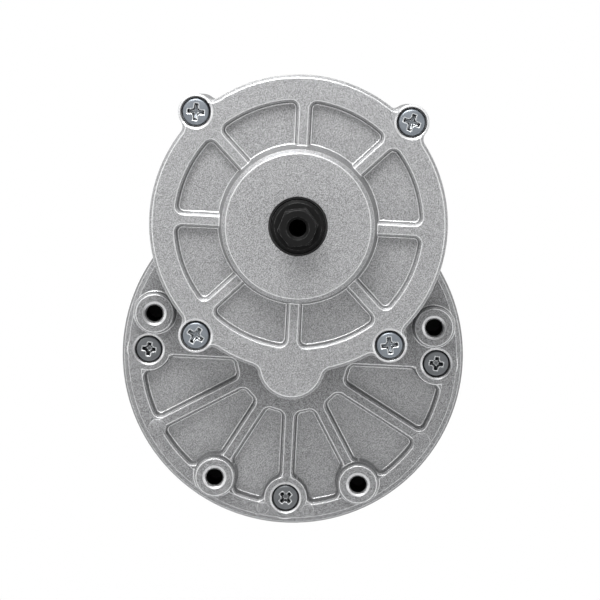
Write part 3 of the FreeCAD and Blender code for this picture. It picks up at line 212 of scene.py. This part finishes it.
# The cover is given paler colours than the housing's flange, as painted light from overhead and
# painted shade below the cover.
cover_finish = blasted_casting(
    "cover_casting", (0.125, 0.125, 0.128), (0.5, 0.503, 0.508),
    rims=around(ear_places, 0.00438, 0.005),
)
housing_finish = blasted_casting(
    "housing_casting", (0.065, 0.065, 0.068), (0.53, 0.533, 0.538),
    rims=around(seat_places, 0.00418, 0.0048) + around(boss_places, 0.0025, 0.0036),
    shaded_holes=around(boss_places, 0.00252, 0.0255, 0.0361), lit_floors=lit_pocket_floors,
)
end_bell_finish = blasted_casting("end_bell_casting", (0.11, 0.11, 0.113), (0.43, 0.433, 0.438))
dress(["gearbox_cover"], cover_finish)
dress(["gear_housing"], housing_finish)
dress(["rear_end_bell"], end_bell_finish)


# Seats of the casting: the wall around each screw seat and mounting boss runs into the flange's
# ribs and rim in smooth curves, with the same draft and broken edge as the pockets. All of it is
# cast in one with the flange.
def new_piece(name, bm, finish, body, smooth_below=0.6):
    """Close and finish a mesh that is built in millimetres, and let it ride on a body."""
    bmesh.ops.remove_doubles(bm, verts=bm.verts, dist=0.0005)
    bmesh.ops.recalc_face_normals(bm, faces=bm.faces)
    bmesh.ops.scale(bm, vec=(0.001, 0.001, 0.001), verts=bm.verts)
    for face in bm.faces:
        face.smooth = True
    mesh = bpy.data.meshes.new(name)
    bm.to_mesh(mesh)
    bm.free()
    mesh.set_sharp_from_angle(angle=smooth_below)
    mesh.materials.append(finish)
    piece = bpy.data.objects.new(name, mesh)
    bpy.context.scene.collection.objects.link(piece)
    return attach(piece, body)


def loop_of(bm, points):
    """A closed loop of edges through those points."""
    corners = [bm.verts.new(point) for point in points]
    return [bm.edges.new((corners[index - 1], corners[index])) for index in range(len(corners))]


def arc(centre, first, last, steps):
    """Directions in degrees from first to last, each with its centre."""
    return [(centre, first + (last - first) * step / steps) for step in range(steps + 1)]


def seat_skirt(bm, seat_angle, side):
    """The curved wall between one side of a seat, its rib and the rim, drawn about the motor's
    axis. Its section gives the reach from the wall's line and the place along Y."""
    circle, seat_radius, half_rib, rim = 43.0, 6.4, 1.7, 44.9
    rib_curve, rim_curve = 2.6, 2.2
    face, broken_edge, foot = 28.02, 28.5, 31.6
    section = ((-1.6, face), (-0.5, face), (0, broken_edge), (0.55, foot), (-1.6, foot))
    rib_b = half_rib + rib_curve
    rib_a = circle - math.sqrt((seat_radius + rib_curve) ** 2 - rib_b**2)
    rim_a = ((rim - rim_curve) ** 2 + circle**2 - (seat_radius + rim_curve) ** 2) / (2 * circle)
    rim_b = math.sqrt((rim - rim_curve) ** 2 - rim_a**2)
    to_rib = math.degrees(math.atan2(rib_b, rib_a - circle))
    to_rim = math.degrees(math.atan2(rim_b, rim_a - circle))
    outward = math.degrees(math.atan2(rim_b, rim_a))
    walk = [(point, rib_curve, -1) for point in arc((rib_a, rib_b), -90, to_rib - 180, 8)]
    walk += [(point, seat_radius, 1) for point in arc((circle, 0), to_rib, to_rim, 12)]
    walk += [(point, rim_curve, -1) for point in arc((rim_a, rim_b), to_rim - 180, outward, 10)]
    turn = math.radians(seat_angle)
    before = None
    for (centre, direction), radius, way in walk:
        points = []
        for reach, y in section:
            length = radius + way * reach
            a = centre[0] + length * math.cos(math.radians(direction))
            b = side * (centre[1] + length * math.sin(math.radians(direction)))
            x = a * math.cos(turn) - b * math.sin(turn)
            points.append((x, y, a * math.sin(turn) + b * math.cos(turn) + motor_z))
        edges_now = loop_of(bm, points)
        if before:
            bmesh.ops.bridge_loops(bm, edges=before + edges_now)
        before = edges_now
    bmesh.ops.holes_fill(bm, edges=[edge for edge in bm.edges if edge.is_boundary], sides=0)


for name, seats in (
    ("flange_seat_walls", ((0, -1), (180, 1), (-90, 1), (-90, -1))),
    ("flange_boss_walls", ((-60, 1), (-60, -1), (-120, 1), (-120, -1))),
):
    walls = bmesh.new()
    for seat_angle, side in seats:
        seat_skirt(walls, seat_angle, side)
    new_piece(name, walls, housing_finish, "housing", 0.5)


# Ejector marks: round witnesses a tenth of a millimetre proud of the flange, where pins pushed
# the casting out of its die. They are cast aluminium like the flange, with less wear and less
# painted edge highlight.
mark_places = (
    (45.98, -149.1, 2.69), (46.31, -30.6, 2.69), (46.9, -98.1, 1.94), (46.9, -81.6, 1.94)
)
flange_face, sunk, rise = 28, 0.1, 0.2
upright = Matrix.Rotation(math.radians(90), 4, "X")
marks = bmesh.new()
for from_axis, angle, radius in mark_places:
    x = from_axis * math.cos(math.radians(angle))
    z = from_axis * math.sin(math.radians(angle)) + motor_z
    made = bmesh.ops.create_circle(
        marks, cap_ends=True, segments=32, radius=radius,
        matrix=Matrix.Translation((x, flange_face + sunk, z)) @ upright,
    )
    disc = list({face for vert in made["verts"] for face in vert.link_faces})
    raised = bmesh.ops.extrude_face_region(marks, geom=disc)["geom"]
    top = [item for item in raised if isinstance(item, bmesh.types.BMVert)]
    bmesh.ops.translate(marks, vec=(0, -rise, 0), verts=top)
    rim = [item for item in raised if isinstance(item, bmesh.types.BMEdge)]
    bmesh.ops.bevel(
        marks, geom=rim, offset=0.1, affect="EDGES", segments=2, profile=0.5, material=-1
    )
mark_finish = blasted_casting(
    "mark_casting", (0.08, 0.08, 0.083), (0.44, 0.443, 0.448), edge_wear_and_highlight=0.35
)
new_piece("ejector_marks", marks, mark_finish, "housing")


# Gasket: a thin sheet of pressed fibre, punched to the outline of the joint and clamped between
# housing and cover. It is seen only as a dark line.
def pressed_fibre():
    finish, shader, here = new_finish("gasket_fibre")
    strands = here.noise(0.0006, 4.0)
    plug(strands.mix((0.05, 0.05, 0.055), (0.12, 0.12, 0.12)), shader, "Base Color")
    plug(0.8 + strands * 0.15, shader, "Roughness")
    return finish


dress(["cover_gasket"], pressed_fibre())


# Screws: M4 pan heads with a cross recess, zinc plated with a faint blue cast. The recess is
# punched. Its corners and the heads' edges are lightened, partly burnish and partly painted
# glints, and its arms are darkened as painted shade.
def zinc_plate(name, dark, light):
    finish, shader, here = new_finish(name)
    cloud = here.noise(0.0016, 4.0, 0.6)
    edge, rounded = edges(here, 0.0004)
    # The recess value darkens the cross recess as painted shade.
    recess_shade = here.node("ShaderNodeAttribute", {"attribute_name": "recess"}, output=2)
    plate = recess_shade.mix(cloud.mix(dark, light), (0.05, 0.055, 0.06))
    # Edges and recess corners are lightened, partly burnish and partly painted glints.
    plug(edge.mix(plate, (0.93, 0.95, 0.96)), shader, "Base Color")
    plug(0.28 + cloud * 0.2, shader, "Roughness")
    emboss(here, shader, 0.2, here.noise(0.0005), rounded)
    shader.inputs["Metallic"].default_value = 1.0
    return finish


zinc = zinc_plate("zinc_plate", (0.15, 0.165, 0.184), (0.245, 0.267, 0.292))
# The through screws' plating is a darker copy of the same zinc: painted shade, as they sit deep in
# the flange.
shaded_zinc = zinc_plate("shaded_zinc_plate", (0.1, 0.105, 0.11), (0.165, 0.172, 0.18))
dress(["cover_screws", "brush_plate_screws"], zinc)
dress(["through_screws"], shaded_zinc)


def cross_points(bm, height, half_span, half_width, corner, recess_shade):
    """Corners of the cross recess at a height; its inner corners are cut off. The last value
    paints shade into the recess.
    """
    quarter = [
        (half_span, half_width), (corner, half_width), (half_width, corner),
        (half_width, half_span),
    ]
    points = []
    for _ in range(4):
        for x, y in quarter:
            points.append(bm.verts.new((x, y, height)))
            points[-1][bm.verts.layers.float["recess"]] = recess_shade
        quarter = [(-y, x) for x, y in quarter]
    return points


def add_screw(target, place, turn, length, thread_length, span):
    """One pan-head screw, in millimetres, with its head's underside at a place. Span is half its
    cross recess."""
    pitch, crest_radius, core_radius = 0.7, 2.0, 1.66
    bm = bmesh.new()
    bm.verts.layers.float.new("recess")
    profile = [
        (3.3, 2.5), (3.5, 2.45), (3.7, 2.28), (3.85, 2.0), (3.95, 1.6), (4.0, 1.1), (4.0, 0.0),
        (crest_radius, 0.0),
    ]
    crest = length - thread_length
    while crest < length - pitch:
        profile += [(crest_radius, -crest), (crest_radius, -crest - 0.08)]
        profile += [(core_radius, -crest - 0.35), (core_radius, -crest - 0.43)]
        crest += pitch
    profile += [(1.4, -length), (0.0, -length)]
    corners = [bm.verts.new((radius, 0, height)) for radius, height in profile]
    lines = [bm.edges.new(pair) for pair in zip(corners, corners[1:])]
    bmesh.ops.spin(
        bm, geom=corners + lines, cent=(0, 0, 0), axis=(0, 0, 1), angle=math.tau, steps=32,
        use_merge=True,
    )
    bmesh.ops.remove_doubles(bm, verts=bm.verts, dist=0.0005)
    flat_edge = [edge for edge in bm.edges if edge.is_boundary]
    steps = [cross_points(bm, *step) for step in (
        (2.5, span, 0.68, 1.2, 0), (2.36, span - 0.1, 0.58, 1.02, 0.7),
        (1.3, span - 0.6, 0.5, 0.8, 1), (0.6, 0.7, 0.36, 0.5, 0.2),
    )]
    for outer, inner in zip(steps, steps[1:]):
        for index in range(len(outer)):
            bm.faces.new((outer[index - 1], outer[index], inner[index], inner[index - 1]))
    bm.faces.new(steps[-1])
    mouth = [edge for edge in bm.edges if edge.is_boundary and edge not in flat_edge]
    bmesh.ops.bridge_loops(bm, edges=flat_edge + mouth)
    stand = Matrix(((1, 0, 0), (0, 0, -1), (0, 1, 0))).to_4x4()
    turned = Matrix.Rotation(math.radians(turn), 4, "Y")
    bm.transform(Matrix.Translation(place) @ turned @ stand)
    one = bpy.data.meshes.new("one_screw")
    bm.to_mesh(one)
    bm.free()
    target.from_mesh(one)
    bpy.data.meshes.remove(one)


heads = bmesh.new()
for (x, z), turn in zip(ear_places, (17, -10, 3, 30)):
    add_screw(heads, (x, 9.2, z), turn, length=22, thread_length=21, span=2.5)
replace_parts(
    new_piece("cover_pan_screws", heads, zinc, "housing", 0.55), "cover_screws"
)

heads = bmesh.new()
for (x, z), turn in zip(seat_places, (5, 5, 45)):
    add_screw(heads, (x, 30.7, z), turn, length=90, thread_length=14, span=2.1)
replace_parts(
    new_piece("through_pan_screws", heads, shaded_zinc, "housing", 0.55),
    "through_screws",
)


# Motor can: a tube of deep-drawn steel with a satin black coat, held between the flange and the
# rear end bell by the long screws. The coat is a little paler on its edges.
def black_coat():
    finish, shader, here = new_finish("can_coat")
    cloud = here.noise(0.02, 3.0)
    edge, rounded = edges(here, 0.0005)
    coat = cloud.mix((0.012, 0.012, 0.013), (0.022, 0.022, 0.024))
    plug(edge.mix(coat, (0.06, 0.06, 0.06)), shader, "Base Color")
    plug(0.38 + cloud * 0.12, shader, "Roughness")
    emboss(here, shader, 0.12, here.noise(0.0011), rounded)
    return finish


dress(["motor_can"], black_coat())


# Output shaft: turned steel with a black oxide finish, a collar under the hub face and a hexagonal
# end with a chamfered thread hole. Its edges show a little bare metal.
def black_oxide():
    finish, shader, here = new_finish("black_oxide")
    cloud = here.noise(0.0016, 3.0)
    edge, rounded = edges(here, 0.0002)
    edge_wear_and_highlight = edge * here.noise(0.0012, 3.0).above(0.35, 0.65)
    colour = edge_wear_and_highlight.mix(cloud.mix((0.004, 0.004, 0.004), (0.008, 0.008, 0.008)), (0.13, 0.13, 0.13))
    # The threaded hole in the shaft's end is painted near-black: painted shade.
    hole_shade = here.inside(0, 0, 0.0025, -0.0072, 0.014)
    plug(hole_shade.mix(colour, (0.002, 0.002, 0.002)), shader, "Base Color")
    plug(0.42 + cloud * 0.14 + hole_shade * 0.3, shader, "Roughness")
    emboss(here, shader, 0.12, here.noise(0.0004), rounded)
    shader.inputs["Specular IOR Level"].default_value = 0.12
    return finish


dress(["output_shaft"], black_oxide())


# Dust lip: a thin black rubber ring in the cover's opening that rubs on the shaft's collar. The
# cable grommet and the seal of the motor's shaft are moulded from the same rubber.
def matt(name, dark, light, rough, size):
    finish, shader, here = new_finish(name)
    cloud = here.noise(size, 4.0)
    plug(cloud.mix(dark, light), shader, "Base Color")
    plug(rough + cloud * 0.15, shader, "Roughness")
    emboss(here, shader, 0.2, cloud)
    return finish


soft_rubber = matt("moulded_rubber", (0.006, 0.006, 0.006), (0.016, 0.016, 0.016), 0.6, 0.0008)
lip = bmesh.new()
section = [(8.38, 0.5), (7.9, 0.4), (7.54, 0.9), (7.6, 1.3), (8.0, 1.2), (8.1, 2.3), (8.38, 2.3)]
ring = loop_of(lip, [(radius, y, 0) for radius, y in section])
bmesh.ops.spin(
    lip, geom=lip.verts[:] + ring, cent=(0, 0, 0), axis=(0, 1, 0), angle=math.tau, steps=64,
    use_merge=True,
)
new_piece("shaft_dust_lip", lip, soft_rubber, "housing")
dress(["cable_grommet", "motor_shaft_seal"], soft_rubber)


# Gears, shafts and bearings: cut, turned and ground from bare steel, clean and lightly oiled. The
# armature's core is a stack of stamped sheets, and the springs are bent from strip.
def bare_metal(name, dark, light, rough):
    finish, shader, here = new_finish(name)
    cloud = here.noise(0.003, 4.0)
    plug(cloud.mix(dark, light), shader, "Base Color")
    plug(rough + cloud * 0.12, shader, "Roughness")
    emboss(here, shader, 0.1, here.noise(0.0004))
    shader.inputs["Metallic"].default_value = 1.0
    return finish


bearing_parts = ("_outer_ring", "_inner_ring", "_ball_set")
gear_steel = bare_metal("gear_steel", (0.32, 0.32, 0.33), (0.5, 0.5, 0.51), 0.3)
ground_steel = bare_metal("ground_steel", (0.45, 0.45, 0.46), (0.6, 0.6, 0.61), 0.2)
sheet_steel = bare_metal("sheet_steel", (0.2, 0.2, 0.21), (0.34, 0.34, 0.35), 0.45)
spring_steel = bare_metal("spring_steel", (0.3, 0.3, 0.32), (0.48, 0.48, 0.5), 0.25)
bearing_steel = bare_metal("bearing_steel", (0.5, 0.5, 0.52), (0.68, 0.68, 0.7), 0.15)
dress(["output_gear", "gear_key"], gear_steel)
dress(["armature_shaft"], ground_steel)
dress(["armature_core"], sheet_steel)
dress(["bearing_wave_washer", "brush_springs"], spring_steel)
dress([name for name in nodes if name.endswith(bearing_parts)], bearing_steel)


# Copper, bronze and brass: windings of copper wire, commutator bars drawn from copper, a bush of
# sintered bronze and brush boxes folded from brass sheet.
copper_wire = bare_metal("copper_wire", (0.5, 0.2, 0.1), (0.75, 0.36, 0.2), 0.35)
copper_bar = bare_metal("copper_bar", (0.6, 0.3, 0.18), (0.8, 0.45, 0.3), 0.25)
sintered_bronze = bare_metal("sintered_bronze", (0.35, 0.22, 0.1), (0.55, 0.38, 0.2), 0.5)
brass_sheet = bare_metal("brass_sheet", (0.6, 0.42, 0.16), (0.78, 0.58, 0.28), 0.3)
dress(["armature_windings"], copper_wire)
dress(["commutator_bars"], copper_bar)
dress(["pinion_end_bush"], sintered_bronze)
dress(["brush_holders"], brass_sheet)


# Moulded and pressed parts: phenolic brush plate and commutator hub, carbon brushes and ferrite
# magnets, all matt.
phenolic = matt("phenolic", (0.1, 0.045, 0.02), (0.17, 0.08, 0.04), 0.5, 0.001)
carbon = matt("carbon", (0.02, 0.02, 0.02), (0.05, 0.05, 0.05), 0.55, 0.0006)
ferrite = matt("magnet", (0.04, 0.04, 0.042), (0.07, 0.07, 0.075), 0.6, 0.001)
dress(["brush_plate", "commutator_hub"], phenolic)
dress(["carbon_brushes"], carbon)
dress(["field_magnets"], ferrite)


# Camera: it stands half a metre in front of the shaft's end, a little above it, and is turned
# slightly because the object isn't level in the picture. Its focal length is in pixels.
camera_place = Vector((0.00565, -0.55444, 0.0378))
yaw, tilt, roll = (math.radians(angle) for angle in (-0.419, -6.033, 2.868))
picture_width, focal_length = 600, 1966.7
ahead = Vector((math.sin(yaw) * math.cos(tilt), math.cos(yaw) * math.cos(tilt), math.sin(tilt)))
level = Vector((math.cos(yaw), -math.sin(yaw), 0))
upward = level.cross(ahead)
right = level * math.cos(roll) + upward * math.sin(roll)
top = upward * math.cos(roll) - level * math.sin(roll)
lens = bpy.data.cameras.new("camera")
lens.sensor_width = 36
lens.lens = focal_length * lens.sensor_width / picture_width
lens.clip_start = 0.01
camera = bpy.data.objects.new("camera", lens)
facing = Matrix((right, top, -ahead)).transposed().to_4x4()
camera.matrix_world = Matrix.Translation(camera_place) @ facing
bpy.context.scene.collection.objects.link(camera)
bpy.context.scene.camera = camera


# Lamps: one large soft lamp hangs overhead and draws the edges, and three weak ones, in front and
# at both sides, fill the shadows.
def soft_lamp(name, place, target, width, power):
    light = bpy.data.lights.new(name, "AREA")
    light.shape = "SQUARE"
    light.size = width
    light.energy = power
    lamp = bpy.data.objects.new(name, light)
    place = Vector(place)
    aim = (Vector(target) - place).to_track_quat("-Z", "Y")
    lamp.matrix_world = Matrix.Translation(place) @ aim.to_matrix().to_4x4()
    bpy.context.scene.collection.objects.link(lamp)


soft_lamp("overhead", (-0.09, -0.24, 0.36), (0, 0.02, -0.03), width=0.24, power=2.8)
soft_lamp("front", (-0.08, -0.95, 0.1), (0, 0.02, -0.03), width=0.5, power=0.3)
soft_lamp("left side", (-0.45, -0.1, 0.0), (0, 0.02, -0.04), width=0.3, power=0.3)
soft_lamp("right side", (0.45, -0.1, 0.0), (0, 0.02, -0.04), width=0.3, power=0.3)


# Floor and backdrop: a pale round table top well below the object, fading out at its rim. Camera,
# metal and glass see both white, while only a weak sky lights the object.
def seen_ray(wire):
    """1 for camera, glossy and transmission rays, 0 for all others."""
    kinds = ("Is Camera Ray", "Is Glossy Ray", "Is Transmission Ray")
    return sum(wire.node("ShaderNodeLightPath", output=kind) for kind in kinds)


table_middle, table_radius = (0, 0.06, -0.2), 0.33
finish, shader, here = new_finish("table_top")
fibres = here.noise(0.003, 4.0)
from_middle = here.vector("DISTANCE", table_middle, output=1)
plug(fibres.mix((0.78, 0.78, 0.78), (0.82, 0.82, 0.82)), shader, "Base Color")
plug(seen_ray(here).mix((0, 0, 0), (0.52, 0.52, 0.52)), shader, "Emission Color")
plug(0.7 + fibres * 0.1, shader, "Roughness")
plug(1 - from_middle.above(0.2, 0.32), shader, "Alpha")
shader.inputs["Emission Strength"].default_value = 1.0
disc = bmesh.new()
bmesh.ops.create_circle(
    disc, cap_ends=True, segments=64, radius=table_radius,
    matrix=Matrix.Translation(table_middle),
)
mesh = bpy.data.meshes.new("table_top")
disc.to_mesh(mesh)
disc.free()
mesh.materials.append(finish)
table = bpy.data.objects.new("table_top", mesh)
bpy.context.scene.collection.objects.link(table)

world = bpy.data.worlds.new("studio")
world.use_nodes = True
world.node_tree.nodes.clear()
air = Wire(world.node_tree, None)
sky = air.node("ShaderNodeBackground", {}, {"Color": (0.8, 0.82, 0.85, 1), "Strength": 0.3})
white = air.node("ShaderNodeBackground", {}, {"Color": (1, 1, 1, 1), "Strength": 1.0})
both = air.node("ShaderNodeMixShader", {}, {0: seen_ray(air), 1: sky, 2: white})
end = world.node_tree.nodes.new("ShaderNodeOutputWorld")
world.node_tree.links.new(both.socket, end.inputs[0])
bpy.context.scene.world = world
bpy.context.scene.view_settings.view_transform = "Standard"
